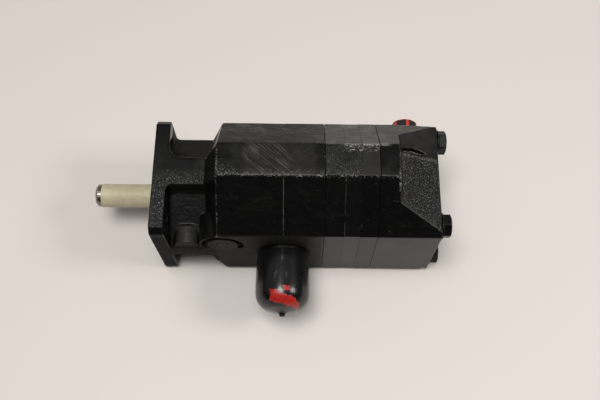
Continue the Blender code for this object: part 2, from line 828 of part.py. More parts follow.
def make_bearing():
    """Deep-groove ball bearing: two grooved races, nine balls and a ribbon cage."""
    middle = (BEARING_FRONT + BEARING_REAR) / 2
    groove = BALL_R + 0.15
    arc = [math.radians(-60 + 30 * i) for i in range(5)]
    outer_groove = [(BALL_PITCH_R + groove * math.cos(a), middle + groove * math.sin(a)) for a in arc]
    inner_groove = [(BALL_PITCH_R - groove * math.cos(a), middle - groove * math.sin(a)) for a in arc]
    turned(
        "bearing_outer_race",
        [
            (BEARING_R - BEARING_EDGE, BEARING_REAR),
            (BEARING_R, BEARING_REAR - BEARING_EDGE),
            (BEARING_R, BEARING_FRONT + BEARING_EDGE),
            (BEARING_R - BEARING_EDGE, BEARING_FRONT),
            (outer_groove[0][0], BEARING_FRONT),
            *outer_groove,
            (outer_groove[0][0], BEARING_REAR),
        ],
        HARD_STEEL,
        36,
        True,
    )
    turned(
        "bearing_inner_race",
        [
            (inner_groove[0][0], BEARING_REAR),
            *inner_groove,
            (inner_groove[0][0], BEARING_FRONT),
            (BEARING_BORE_R + 0.1, BEARING_FRONT),
            (BEARING_BORE_R + 0.1, BEARING_REAR),
        ],
        HARD_STEEL,
        36,
        True,
    )
    for i in range(BALLS):
        a = 2 * math.pi * i / BALLS
        make_ball(f"bearing_ball_{i + 1}", middle, BALL_PITCH_R * math.cos(a), BALL_PITCH_R * math.sin(a))
    cage = turned(
        "bearing_cage",
        ring_profile(
            BALL_PITCH_R - CAGE_THICK,
            BALL_PITCH_R + CAGE_THICK,
            middle - CAGE_HALF,
            middle + CAGE_HALF,
        ),
        BRONZE,
        36,
        True,
    )
    for i in range(BALLS):
        a = 2 * math.pi * i / BALLS
        pocket = rod(
            f"cage_pocket_{i}",
            (middle, 15 * math.cos(a), 15 * math.sin(a)),
            (middle, 24 * math.cos(a), 24 * math.sin(a)),
            BALL_R + 0.25,
            True,
            sides=12,
        )
        cut(cage, pocket)


# ---------------------------------------------------------------------- seals and bushes


def make_small_rings():
    turned(
        "shaft_seal",
        [
            (SEAL_R, SEAL_REAR),
            (SEAL_R, SEAL_FRONT),
            (SHAFT_R + 2.2, SEAL_FRONT),
            (SHAFT_R + 0.15, SEAL_FRONT + 4.2),
            (SHAFT_R + 0.15, SEAL_FRONT + 5.2),
            (SHAFT_R + 3.6, SEAL_REAR - 1.2),
            (SEAL_R - 2.2, SEAL_FRONT + 1.8),
            (SEAL_R - 2.0, SEAL_REAR),
        ],
        SEAL_RUBBER,
        32,
        True,
    )
    snap = turned(
        "seal_retaining_ring",
        ring_profile(SEAL_R - 2.6, SEAL_R + 1.3, 0.5, 1.7),
        DARK_STEEL,
        36,
        True,
    )
    cut(snap, block("snap_ring_gap", (-2, -3, -30), (4, 3, -15), cutter=True))
    for name, x0, x1 in (
        ("front_bushing", HOUSING_END + 0.5, FRONT_PLATE_END - 0.5),
        ("rear_bushing", RING_END + 0.5, REAR_PLATE_END - 0.5),
    ):
        turned(name, ring_profile(SHAFT_REAR_R + RUN, BUSH_R, x0, x1, 0.5), BRONZE, 28, True)
    for name, x in (
        ("front_face_seal", HOUSING_END - 0.8),
        ("rear_face_seal", REAR_PLATE_END + 0.8),
    ):
        turned(name, torus_profile(FACE_SEAL_R, x, FACE_SEAL_WIRE_R), SEAL_RUBBER, 32, True)


def make_rotor_key():
    block(
        "rotor_key",
        (FRONT_PLATE_END + 1 + GAP, -KEY_HALF + GAP / 2, SHAFT_REAR_R - 3 + GAP),
        (RING_END - 1 - GAP, KEY_HALF - GAP / 2, KEY_TOP_Z - GAP),
        material=BRIGHT_STEEL,
    )


# ---------------------------------------------------------------------------- fasteners


def make_bolts():
    seat = COVER_END + GAP
    head = seat + WASHER_THICK + GAP
    for number, (y, z) in enumerate(four_corners(BOLT_Y, BOLT_Z), 1):
        bolt = rod(
            f"cover_bolt_{number}", (BOLT_TIP, y, z), (head + 1, y, z), BOLT_R, material=DARK_STEEL, sides=20
        )
        hexagon = rod(
            f"bolt_head_{number}", (head, y, z), (head + BOLT_HEAD_HIGH, y, z), BOLT_HEAD_R, True, sides=6
        )
        boolean(bolt, hexagon, "UNION")
        prism(
            f"bolt_washer_{number}",
            [circle(y, z, WASHER_R, 20), circle(y, z, BOLT_HOLE_R, 16)],
            seat,
            seat + WASHER_THICK,
            DARK_STEEL,
        )


def make_dowels():
    for name, y in (("dowel_pin_front", -DOWEL_AT), ("dowel_pin_back", DOWEL_AT)):
        start, stop = (DOWEL_START, y, DOWEL_Z), (DOWEL_STOP, y, DOWEL_Z)
        rod(name, start, stop, DOWEL_R, material=BRIGHT_STEEL, sides=16)


# -------------------------------------------------------------------------------- ports


def face_front(obj, x, z):
    """Lay a turned shape's local axis along +Y, through (x, z)."""
    obj.rotation_euler = (-math.pi / 2, 0, 0)
    obj.location = (x * MM, 0, z * MM)
    return obj


def make_front_port():
    seat = -BODY_HALF + 1
    adapter = turned(
        "port_adapter",
        [
            (PORT_THREAD_R, PORT_DEEP),
            (PORT_THREAD_R, seat - 0.2),
            (ADAPTER_R, seat - GAP),
            (ADAPTER_R, ADAPTER_TIP + 1),
            (ADAPTER_R - 1, ADAPTER_TIP),
            (ADAPTER_BORE_R + 3, ADAPTER_TIP),
            (ADAPTER_BORE_R, ADAPTER_TIP + 5),
            (ADAPTER_BORE_R, PORT_DEEP),
        ],
        DARK_STEEL,
        32,
        True,
    )
    face_front(adapter, PORT_X, 0)
    inside = ADAPTER_R + GAP
    cap = turned(
        "port_cap",
        [
            (inside, CAP_MOUTH),
            (CAP_MOUTH_R - 0.7, CAP_MOUTH),
            (CAP_MOUTH_R, CAP_MOUTH - 1.6),
            (CAP_MOUTH_R + 0.7, CAP_MOUTH - 9),
            (CAP_R, CAP_SHOULDER + 14),
            (CAP_R - 0.3, CAP_SHOULDER + 4),
            (CAP_R - 1.6, CAP_SHOULDER - 2.2),
            (CAP_R - 4.6, CAP_SHOULDER - 7.0),
            (CAP_R - 9.6, CAP_SHOULDER - 10.6),
            (4.6, CAP_SHOULDER - 14.2),
            (3.3, CAP_SHOULDER - 15.6),
            (2.4, CAP_NIB),
            (0, CAP_NIB),
            (0, CAP_SHOULDER - 10.5),
            (4, CAP_SHOULDER - 10.0),
            (CAP_R - 8.6, CAP_SHOULDER - 6.6),
            (CAP_R - 5.0, CAP_SHOULDER - 1.5),
            (inside, CAP_SHOULDER + 6),
        ],
        BLACK_VINYL,
        32,
    )
    cap_edges_close(cap)
    face_front(cap, PORT_X, 0)


def cap_edges_close(cap):
    """Join the profile's last point to its first, round the cap's mouth."""
    bm = bmesh.new()
    bm.from_mesh(cap.data)
    bm.verts.ensure_lookup_table()
    bm.edges.new((bm.verts[len(bm.verts) - 1], bm.verts[0]))
    bm.to_mesh(cap.data)
    bm.free()


def make_rear_port():
    head = REAR_PORT_SEAT + GAP
    plug = rod(
        "rear_port_plug",
        (REAR_PORT_X, REAR_PORT_DEEP, REAR_PORT_Z),
        (REAR_PORT_X, head + 1, REAR_PORT_Z),
        REAR_PORT_R,
        material=DARK_STEEL,
        sides=28,
    )
    hexagon = rod(
        "rear_plug_hexagon",
        (REAR_PORT_X, head, REAR_PORT_Z),
        (REAR_PORT_X, PLUG_OUT, REAR_PORT_Z),
        PLUG_HEAD_R,
        True,
        sides=6,
    )
    boolean(plug, hexagon, "UNION")


def make_drain_plug():
    """A plain plug pressed in flush with the housing's front face."""
    rod(
        "drain_plug",
        (DRAIN_X, -BODY_HALF + 0.2, DRAIN_Z),
        (DRAIN_X, DRAIN_DEEP, DRAIN_Z),
        DRAIN_PLUG_R,
        material=DARK_STEEL,
        sides=24,
    )


def make_shaft_wrap():
    """Protective tape wound round the bare shaft, leaving its tip uncovered."""
    turned(
        "shaft_wrap",
        [
            (WRAP_R - 0.15, WRAP_START),
            (WRAP_R, WRAP_START - 4.5),
            (WRAP_R, WRAP_STOP + 1.0),
            (WRAP_R - 0.2, WRAP_STOP),
            (OUTPUT_R + 0.2, WRAP_STOP),
            (OUTPUT_R + 0.2, WRAP_START),
        ],
        CREAM_TAPE,
        32,
        True,
    )


make_front_housing()
make_port_plate("front_port_plate", HOUSING_END, FRONT_PLATE_END, -1, 0.3)
make_eccentric_ring()
make_port_plate("rear_port_plate", RING_END, REAR_PLATE_END, 1, 0.2)
make_rear_cover()
make_shaft()
make_inner_rotor()
make_outer_rotor()
make_rotor_key()
make_bearing()
make_small_rings()
make_bolts()
make_dowels()
make_front_port()
make_rear_port()
make_drain_plug()
make_shaft_wrap()
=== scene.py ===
"""Looks for the square-flanged gerotor hydraulic motor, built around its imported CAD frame.

The castings are rebuilt as dense, softly rounded skins with a real cast texture, and the
cap, tape, bolts, washers and plug are modelled afresh. Every other node keeps its CAD
shape and gets a procedural material.
"""

import json
import math

import bmesh
import bpy
import numpy as np
from mathutils import Matrix, Vector, noise


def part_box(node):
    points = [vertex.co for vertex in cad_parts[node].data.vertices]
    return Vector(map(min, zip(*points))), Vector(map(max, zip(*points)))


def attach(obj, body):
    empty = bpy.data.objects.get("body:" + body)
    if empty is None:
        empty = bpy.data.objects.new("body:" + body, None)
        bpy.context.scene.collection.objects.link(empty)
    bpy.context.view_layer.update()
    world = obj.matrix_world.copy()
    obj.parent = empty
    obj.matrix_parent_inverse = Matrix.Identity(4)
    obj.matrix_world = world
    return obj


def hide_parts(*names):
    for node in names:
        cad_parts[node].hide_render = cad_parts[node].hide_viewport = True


MM = 0.001
PILOT_HIGH = 2.8
PLATE_EDGE = 0.3
# How far the paint on each plate creeps into its joints. It takes up all of the rotors'
# 0.1 mm running clearance, so their faces touch the port plates.
PAINT_BRIDGE = 0.1

# Places that the finishes and the shapes share, from the shaft axis at the flange's face
FLASH_X = 123.5  # the parting line across the housing's front slope
SEAM_X = 179.3
BLOCK_EDGE_X = 62.6
COVER_STEP_X = 228.6
RIDGE_FRONT_Y, RIDGE_BACK_Y = -13.6, 17.6
DRAIN_X, DRAIN_Z, BROW_R = 65.5, 21.0, 17.6
CASE_BOSS_X = 31.0
NECK_MIDDLE_Y = 3.8
PLUG_X, PLUG_Z = 243.0, 14.0
RED_MARK_X, RED_MARK_Y = 124.5, -109.0
RED_SPOT_X, RED_SPOT_Y = 127.0, -99.6

BALL_PLAY = 0.15
RACE_EDGE = 0.6
HEX_SIDES = 96
BOLT_SHANK_R, WASHER_BORE_R = 6.7, 7.3
PLUG_SHANK_R, PLUG_SEAT_Y = 11.0, 55.3
SCENE = bpy.context.scene

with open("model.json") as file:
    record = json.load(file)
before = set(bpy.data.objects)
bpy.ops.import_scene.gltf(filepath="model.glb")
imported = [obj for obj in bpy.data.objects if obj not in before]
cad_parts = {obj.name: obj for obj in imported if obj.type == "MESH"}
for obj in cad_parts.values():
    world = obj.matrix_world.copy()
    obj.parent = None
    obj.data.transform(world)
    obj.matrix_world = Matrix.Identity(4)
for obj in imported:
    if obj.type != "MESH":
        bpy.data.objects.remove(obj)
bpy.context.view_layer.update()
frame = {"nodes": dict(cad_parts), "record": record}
NODES = frame["nodes"]

# The shaft axis at the flange's front face, from the frame itself. Lengths below are in
# millimetres from that point, with X along the shaft, Y to the back and Z up.
_shaft_low, _shaft_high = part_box("output_shaft")
AXIS = Vector(
    (
        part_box("front_housing")[0].x + PILOT_HIGH * MM,
        (_shaft_low.y + _shaft_high.y) / 2,
        (_shaft_low.z + _shaft_high.z) / 2,
    )
)


def at(x, y, z):
    return AXIS + Vector((x, y, z)) * MM


# ---------------------------------------------------------------------- node expressions


class Value:
    """A node socket that can be added, multiplied and compared like a number."""

    def __init__(self, graph, socket):
        self.graph, self.socket = graph, socket

    def _do(self, operation, *others):
        return self.graph.math(operation, self, *others)

    def __add__(self, other):
        return self._do("ADD", other)

    def __radd__(self, other):
        return self._do("ADD", other)

    def __sub__(self, other):
        return self._do("SUBTRACT", other)

    def __rsub__(self, other):
        return self.graph.math("SUBTRACT", other, self)

    def __mul__(self, other):
        return self._do("MULTIPLY", other)

    def __rmul__(self, other):
        return self._do("MULTIPLY", other)

    def size(self):
        return self._do("ABSOLUTE")

    def most(self, other):
        return self._do("MAXIMUM", other)

    def least(self, other):
        return self._do("MINIMUM", other)

    def between(self, low, high):
        """0 below low and 1 above high, with a smooth step; low may be the larger."""
        return self.graph.step(self, low, high)


class Graph:
    """A material's node tree, built from expressions."""

    def __init__(self, name):
        self.material = bpy.data.materials.new(name)
        self.material.use_nodes = True
        self.tree = self.material.node_tree
        self.shader = self.tree.nodes["Principled BSDF"]
        self.where = self.node("ShaderNodeTexCoord").outputs["Object"]
        parts = self.node("ShaderNodeSeparateXYZ")
        self.link(self.where, parts.inputs[0])
        self.x = (Value(self, parts.outputs[0]) - AXIS.x) * 1000.0
        self.y = (Value(self, parts.outputs[1]) - AXIS.y) * 1000.0
        self.z = (Value(self, parts.outputs[2]) - AXIS.z) * 1000.0

    def node(self, kind, **settings):
        made = self.tree.nodes.new(kind)
        for key, value in settings.items():
            setattr(made, key, value)
        return made

    def link(self, source, target):
        if isinstance(source, Value):
            source = source.socket
        if isinstance(source, (int, float)):
            target.default_value = source
        elif isinstance(source, tuple):
            target.default_value = (*source, 1.0) if len(source) == 3 else source
        else:
            self.tree.links.new(source, target)

    def math(self, operation, *values):
        made = self.node("ShaderNodeMath", operation=operation)
        for value, target in zip(values, made.inputs):
            self.link(value, target)
        return Value(self, made.outputs[0])

    def step(self, value, low, high):
        made = self.node("ShaderNodeMapRange", interpolation_type="SMOOTHSTEP")
        flip = low > high
        self.link(value, made.inputs["Value"])
        made.inputs["From Min"].default_value = high if flip else low
        made.inputs["From Max"].default_value = low if flip else high
        made.inputs["To Min"].default_value = 1.0 if flip else 0.0
        made.inputs["To Max"].default_value = 0.0 if flip else 1.0
        return Value(self, made.outputs["Result"])

    def stretched(self, scale, turn=0.0):
        """Coordinates turned about Z and then stretched, so that noise runs in streaks."""
        turned = self.node("ShaderNodeMapping")
        turned.inputs["Rotation"].default_value = (0.0, 0.0, turn)
        self.link(self.where, turned.inputs["Vector"])
        made = self.node("ShaderNodeMapping")
        made.inputs["Scale"].default_value = scale
        self.link(turned.outputs[0], made.inputs["Vector"])
        return made.outputs[0]

    def noise(self, scale, detail=3.0, rough=0.55, warp=0.0, where=None):
        """Noise of about 0 to 1; scale is in features per metre."""
        made = self.node("ShaderNodeTexNoise")
        self.link(where or self.where, made.inputs["Vector"])
        made.inputs["Scale"].default_value = scale
        made.inputs["Detail"].default_value = detail
        made.inputs["Roughness"].default_value = rough
        made.inputs["Distortion"].default_value = warp
        return Value(self, made.outputs[0])

    def cells(self, scale):
        """Distance to scattered points, for pits and chips."""
        made = self.node("ShaderNodeTexVoronoi")
        self.link(self.where, made.inputs["Vector"])
        made.inputs["Scale"].default_value = scale
        return Value(self, made.outputs["Distance"])

    def facing(self):
        """The surface's normal as three values."""
        parts = self.node("ShaderNodeSeparateXYZ")
        self.link(self.node("ShaderNodeNewGeometry").outputs["Normal"], parts.inputs[0])
        return [Value(self, out) for out in parts.outputs]

    def mix(self, share, first, second):
        made = self.node("ShaderNodeMix", data_type="RGBA")
        self.link(share, made.inputs[0])
        self.link(first, made.inputs[6])
        self.link(second, made.inputs[7])
        return made.outputs[2]

    def bump(self, height, depth_mm, strength=1.0, under=None):
        made = self.node("ShaderNodeBump")
        self.link(height, made.inputs["Height"])
        made.inputs["Strength"].default_value = strength
        made.inputs["Distance"].default_value = depth_mm * MM
        if under is not None:
            self.link(under, made.inputs["Normal"])
        return made.outputs[0]

    def finish(self, color, roughness, normal, metallic=0.0):
        self.link(color, self.shader.inputs["Base Color"])
        self.link(roughness, self.shader.inputs["Roughness"])
        self.link(normal, self.shader.inputs["Normal"])
        self.link(metallic, self.shader.inputs["Metallic"])
        return self.material


# ---------------------------------------------------------------------------- materials


def surface_masks(g):
    """Where the faces of the six-sided outline are, as masks of 0 to 1."""
    nx, ny, nz = g.facing()
    up = nz.between(0.8, 0.93)
    face = {
        "up": up,
        "ridge": up * g.z.between(84.6, 86.0),
        "back_slope": ny.between(0.5, 0.62) * nz.between(0.45, 0.6) * g.x.between(57, 62),
        "front_slope": ny.between(-0.5, -0.62) * nz.between(0.45, 0.6),
        "front": ny.between(-0.8, -0.93),
        "ramp": nx.between(0.2, 0.36) * nz.between(0.7, 0.85),
        "web_top": up * g.z.between(53.0, 54.2) * g.z.between(57.0, 56.0),
    }
    front_edge = (g.y - RIDGE_FRONT_Y).size().between(1.9, 0.3)
    back_edge = (g.y - RIDGE_BACK_Y).size().between(2.4, 0.4)
    face["ridge_front_edge"] = front_edge * g.z.between(83.0, 86.2)
    face["ridge_back_edge"] = back_edge * g.z.between(83.5, 86.2)
    return face


def painted_casting(name, kind, tint=1.0, gloss=0.30):
    """Semi-gloss black paint over iron: kind is housing, plate or cover."""
    g = Graph(name)
    face = surface_masks(g)
    broad = g.noise(38, 3, 0.6)
    patch = g.noise(85, 3, 0.65, 0.6)
    grain = g.noise(620, 4, 0.7)
    grit = g.noise(1250, 2, 0.6)
    ridge = face["ridge"]

    # Dust, thicker and smeared on the back slope and thin on whatever faces up
    smear = g.noise(1.0, 4, 0.65, 1.8, g.stretched((26, 120, 120), 0.35))
    rub = g.noise(1.0, 3, 0.6, 0.6, g.stretched((40, 340, 340), -0.5))
    further = g.x.between(120, 185) * g.x.between(226, 216)
    dust_and_highlights = face["back_slope"] * (smear.between(0.48, 0.66) * 0.27 + rub.between(0.5, 0.66) * 0.14)
    dust_and_highlights = dust_and_highlights + face["back_slope"] * further * (patch.between(0.45, 0.62) * 0.25 + 0.08)
    pale = g.noise(48, 3, 0.6, 1.0).between(0.55, 0.63) * g.y.between(34, 46)
    dust_and_highlights = dust_and_highlights + face["back_slope"] * pale * 0.34
    dust_and_highlights = dust_and_highlights + face["front_slope"] * smear.between(0.5, 0.72) * 0.022
    dust_and_highlights = dust_and_highlights + face["up"] * broad.between(0.45, 0.75) * 0.07

    # Bare spots where the paint has flaked, and painted glints: light grey specks where the rough
    # cast skin would catch the light
    glint_zone = ridge * g.x.between(90, 62) * g.y.between(4, -6) * 0.6
    glint_zone = glint_zone + ridge * g.x.between(158, 162) * g.x.between(196, 192) * 0.5
    glint_zone = glint_zone + ridge * g.y.between(-5, -11) * g.x.between(200, 190) * 0.5
    chips_and_glints = face["ridge_front_edge"] * grain.between(0.53, 0.62) * patch.between(0.36, 0.56) * 0.8
    flake_zone = g.x.between(176, 181) * g.x.between(222, 216)
    chips_and_glints = chips_and_glints + face["ridge_back_edge"] * flake_zone * grain.between(0.44, 0.54) * 0.9
    flakes = g.noise(1.0, 3, 0.7, 0.4, g.stretched((260, 700, 300)))
    peeled = (g.y - 13.6).size().between(4.2, 1.4)
    peeled = peeled * g.x.between(177, 183) * g.x.between(212, 204)
    chips_and_glints = chips_and_glints + ridge * peeled * flakes.between(0.55, 0.6) * 0.9
    scuff = g.noise(240, 4, 0.7).between(0.64, 0.7) * patch.between(0.52, 0.6)
    fleck = face["front_slope"] * (scuff * 0.2 + grit.between(0.72, 0.76) * 0.25)
    chips_and_glints = chips_and_glints + fleck
    raised = 0.0
    groove = 0.0
    rough_zone = glint_zone
    dull = face["front"] * 0.15 + face["back_slope"] * 0.08
    if kind == "housing":
        cast_top = face["web_top"] * g.y.between(6.5, 2.5)
        # Painted glints on the web's rough cast top
        glint_zone = glint_zone + cast_top * (g.y.between(4, -8) * 0.5 + 0.4)
        rough_zone = glint_zone + face["web_top"] * 0.35 + face["front"] * 0.22
        dull = face["front"] * (g.x.between(160, 132) * 0.16 + 0.2) + face["back_slope"] * 0.24
        pockets = (g.y - NECK_MIDDLE_Y).size().between(16, 20) * g.z.size().between(44, 40)
        pockets = g.x.between(60, 56) * pockets
        dull = dull + pockets * (g.y.between(0, 10) * 0.2 + 0.14)
        left_edge = (g.x - BLOCK_EDGE_X).size().between(1.6, 0.3) * g.z.between(40, 45)
        chips_and_glints = chips_and_glints + left_edge * grain.between(0.54, 0.62) * patch.between(0.42, 0.58)
        fan = ridge * g.x.between(84, 92) * g.x.between(160, 144)
        scratch_a = g.noise(1.0, 2, 0.5, 0.2, g.stretched((60, 1500, 300), 0.72))
        scratch_b = g.noise(1.0, 2, 0.5, 0.2, g.stretched((60, 1500, 300), -0.55))
        lines = scratch_a.between(0.54, 0.66) * g.x.between(142, 122)
        lines = lines + scratch_b.between(0.58, 0.7) * g.x.between(124, 140) * 0.5
        dust_and_highlights = dust_and_highlights + fan * lines * 0.28 + fan * 0.05
        flash_line = (g.x - FLASH_X).size().between(0.6, 0.25) * face["front_slope"]
        # Painted highlight: the parting line's flash is lightened in colour, on top of its raised
        # bump
        dust_and_highlights = dust_and_highlights + flash_line * g.noise(180, 2, 0.6).between(0.3, 0.65) * 0.32
        raised = flash_line
        across, above = g.x - DRAIN_X, g.z - DRAIN_Z
        from_drain = g.math("SQRT", across * across + above * above)
        boss_face = g.y.between(-54.2, -55.2)
        # Painted shadow: the brow's groove is painted near black and made metallic, darker than
        # its shape alone makes it
        groove = (from_drain - BROW_R).size().between(3.0, 2.2) * boss_face
        groove = groove * above.between(-10.0, -5.0)
        # The disc inside the brow is made a little lighter
        dust_and_highlights = dust_and_highlights + boss_face * from_drain.between(15, 13) * 0.12
        # Painted highlight: the top of the case boss is lightened where light falls on it
        boss_top = (g.x - CASE_BOSS_X).size().between(11.5, 8.0) * g.y.between(-38.0, -41.0)
        dust_and_highlights = dust_and_highlights + boss_top * g.z.between(15, 20) * g.z.between(30, 26) * 0.12
    elif kind == "cover":
        cast_ramp = face["ramp"] * g.y.between(21.0, 18.0)
        # Painted glints on the ramp's rough cast front half
        glint_zone = glint_zone + cast_ramp * 0.95
        rough_zone = rough_zone + cast_ramp * 0.75
        step_edge = (g.x - COVER_STEP_X).size().between(2.4, 0.5) * g.y.between(-5, -10)
        step_edge = step_edge * g.y.between(-30, -22) * g.z.between(76, 82)
        chips_and_glints = chips_and_glints + step_edge * grain.between(0.46, 0.56)
        ramp_edge = face["ramp"] * (g.y - 17.0).size().between(2.2, 0.6)
        chips_and_glints = chips_and_glints + ramp_edge * grit.between(0.5, 0.6) * 0.5
        dust_and_highlights = dust_and_highlights + face["ramp"] * g.y.between(18.0, 21.0) * 0.05
    else:
        # Painted highlight: a light line along the plate seam on the front slope
        seam = (g.x - SEAM_X).size().between(0.5, 0.25) * face["front_slope"]
        dust_and_highlights = dust_and_highlights + seam * g.noise(120, 2, 0.6).between(0.3, 0.65) * 0.16
        dust_and_highlights = dust_and_highlights + face["ridge"] * g.x.between(192, 196) * 0.09
    # The glint zones add painted glints, light grey specks, to the flaked spots
    chips_and_glints = (chips_and_glints + glint_zone * grit.between(0.6, 0.68)).least(1.0)
    dust_and_highlights = dust_and_highlights.least(1.0)

    deep = (0.0036 * tint, 0.0036 * tint, 0.0038 * tint)
    black = g.mix(broad, deep, (0.0062 * tint, 0.0061 * tint, 0.0060 * tint))
    # The dust colour also carries the painted highlights on the flash, seam and case boss
    dusted_and_highlit = g.mix(dust_and_highlights, black, (0.20, 0.196, 0.186))
    chipped_and_glinting = g.mix(chips_and_glints * 0.75, dusted_and_highlit, (0.42, 0.42, 0.41))
    # The painted shadow in the brow's groove goes over everything else
    color = g.mix(groove, chipped_and_glinting, (0.0015, 0.0015, 0.0015))

    roughness = broad * 0.10 + dust_and_highlights * 0.3 + chips_and_glints * 0.25 + rough_zone * 0.16
    roughness = roughness + dull + groove * 0.3 + gloss
    fine = g.bump(grain * 0.5 + grit * 0.2 + dust_and_highlights * 0.4, 0.05)
    skin = g.noise(900, 3, 0.75) + g.cells(420).between(0.35, 0.0) * -0.4
    cast = g.bump(skin * (rough_zone.least(1.0) * 0.94 + 0.06), 0.34, 1.0, fine)
    normal = g.bump(raised, 0.4, 0.8, cast) if kind == "housing" else cast
    g.shader.inputs["IOR"].default_value = 1.31 if kind == "housing" else 1.34
    return g.finish(color, roughness.least(0.9), normal, groove)


def blackened_steel(name):
    g = Graph(name)
    stain = g.noise(150, 3, 0.6)
    fine = g.noise(1500, 2, 0.6)
    color = g.mix(stain.between(0.35, 0.7), (0.003, 0.003, 0.0031), (0.008, 0.0078, 0.0075))
    worn = stain.between(0.62, 0.72) * fine.between(0.5, 0.62)
    color = g.mix(worn * 0.8, color, (0.11, 0.105, 0.1))
    return g.finish(color, 0.26 + stain * 0.24, g.bump(fine, 0.05), 0.5)


def ground_steel(name, color, dark, base_roughness):
    g = Graph(name)
    lay = g.noise(1.0, 3, 0.5, 0.0, g.stretched((5000, 260, 260)))
    stain = g.noise(120, 3, 0.6)
    mixed = g.mix(stain.between(0.4, 0.75) * 0.5 + lay * 0.3, color, dark)
    return g.finish(mixed, base_roughness + lay * 0.18, g.bump(lay, 0.02), 1.0)


def bearing_bronze():
    g = Graph("bearing_bronze")
    lay = g.noise(1.0, 3, 0.5, 0.0, g.stretched((4000, 300, 300)))
    stain = g.noise(160, 2, 0.6)
    color = g.mix(stain, (0.42, 0.25, 0.10), (0.56, 0.36, 0.17))
    return g.finish(color, 0.3 + lay * 0.2, g.bump(lay, 0.03), 1.0)


def seal_rubber():
    g = Graph("moulded_rubber")
    bloom = g.noise(300, 4, 0.65)
    color = g.mix(bloom, (0.008, 0.008, 0.008), (0.028, 0.027, 0.026))
    return g.finish(color, 0.55 + bloom * 0.2, g.bump(bloom, 0.06))


def dipped_vinyl():
    """Glossy black cap with a smeared red paint mark across its upper end."""
    g = Graph("dipped_vinyl")
    wave = g.noise(60, 2, 0.5)
    ragged = g.noise(210, 4, 0.6)
    fine = g.noise(900, 2, 0.5)
    edge = (ragged - 0.5) * 8.0
    mid = (g.x - RED_MARK_X + (wave - 0.5) * 8.0).size() - 13.0
    tilt = g.y - RED_MARK_Y + (g.x - RED_MARK_X) * 0.26
    band = tilt.size() - 4.8 + (g.x - 118.0).size() * 0.08
    blob = (mid.most(band) + edge).between(0.6, -0.6)
    spot = (g.x - RED_SPOT_X).size().most((g.y - RED_SPOT_Y).size() * 1.3)
    spot = (spot + edge * 0.7).between(3.2, 2.2)
    red = blob.most(spot) * g.z.between(2, 6)
    thin = g.noise(330, 3, 0.6).between(0.66, 0.5)
    scuff = g.noise(1.0, 3, 0.6, 0.4, g.stretched((260, 70, 260))).between(0.6, 0.72)
    black = g.mix(scuff * 0.5, (0.0055, 0.0055, 0.0058), (0.03, 0.03, 0.031))
    color = g.mix(red * (thin * 0.35 + 0.65), black, (0.44, 0.017, 0.011))
    roughness = 0.17 + wave * 0.1 + scuff * 0.2 + red * 0.12 - g.y.between(-70.0, -64.0) * 0.06
    normal = g.bump(red, 0.18, 0.8, g.bump(wave * 0.6 + fine * 0.06, 0.35))
    return g.finish(color, roughness, normal)


def wound_tape():
    g = Graph("wound_tape")
    crease = g.noise(1.0, 3, 0.6, 0.8, g.stretched((160, 700, 700)))
    cloud = g.noise(95, 3, 0.6)
    grime = g.noise(420, 3, 0.6)
    color = g.mix(cloud, (0.66, 0.60, 0.415), (0.50, 0.455, 0.30))
    color = g.mix(grime.between(0.6, 0.75) * 0.35, color, (0.30, 0.27, 0.17))
    # Painted shade along the creases, on top of their bump
    color = g.mix(crease.between(0.55, 0.68) * 0.4, color, (0.34, 0.30, 0.185))
    roughness = 0.38 + crease * 0.2
    made = g.finish(color, roughness, g.bump(crease, 0.22, 0.8))
    g.shader.inputs["Subsurface Weight"].default_value = 0.15
    g.shader.inputs["Subsurface Radius"].default_value = (0.002, 0.0016, 0.0009)
    return made


def plug_finish():
    """Blackened hexagon whose edges still carry red marking paint."""
    g = Graph("marked_plug")
    ragged = g.noise(330, 4, 0.65)
    edge = (ragged - 0.5) * 5.0
    across, above = g.x - PLUG_X, g.z - PLUG_Z
    from_centre = g.math("SQRT", across * across + above * above)
    corners = (from_centre + edge * 0.2).between(12.1, 12.7)
    face_rim = g.y.between(74.6, 75.4) * (from_centre + edge * 0.5).between(9.8, 11.2)
    red = corners.most(face_rim) * g.y.between(60, 68)
    stain = g.noise(200, 3, 0.6)
    black = g.mix(stain, (0.006, 0.006, 0.006), (0.014, 0.013, 0.013))
    color = g.mix(red, black, (0.60, 0.035, 0.02))
    return g.finish(color, 0.34 + stain * 0.16 + red * 0.1, g.bump(ragged, 0.12))


HOUSING_SKIN = painted_casting("painted_housing_iron", "housing", 0.75, 0.23)
COVER_SKIN = painted_casting("painted_cover_iron", "cover", 0.75, 0.19)
PLATE_SKINS = {
    "front_port_plate": painted_casting("painted_plate_iron", "plate", 0.8, 0.21),
    "eccentric_ring": painted_casting("painted_ring_iron", "plate", 1.0, 0.19),
    "rear_port_plate": painted_casting("painted_rear_plate_iron", "plate", 0.75, 0.2),
}
OXIDE = blackened_steel("black_oxide_steel")
GROUND = ground_steel("ground_shaft_steel", (0.32, 0.305, 0.28), (0.12, 0.11, 0.10), 0.24)
HARDENED = ground_steel("hardened_steel", (0.50, 0.50, 0.49), (0.30, 0.30, 0.30), 0.18)
BRONZE = bearing_bronze()
RUBBER = seal_rubber()
VINYL = dipped_vinyl()
TAPE = wound_tape()
PLUG = plug_finish()
BY_SLOT = {
    "black_paint": HOUSING_SKIN,
    "dark_steel": OXIDE,
    "bright_steel": GROUND,
    "hard_steel": HARDENED,
    "bronze": BRONZE,
    "seal_rubber": RUBBER,
    "black_vinyl": VINYL,
    "cream_tape": TAPE,
}

# ------------------------------------------------------------------------- mesh helpers


def add_piece(name, mesh, material, body, slot, *nodes):
    piece = bpy.data.objects.new(name, mesh)
    SCENE.collection.objects.link(piece)
    mesh.materials.clear()
    mesh.materials.append(material)
    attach(piece, body)
    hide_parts(*nodes)
    return piece


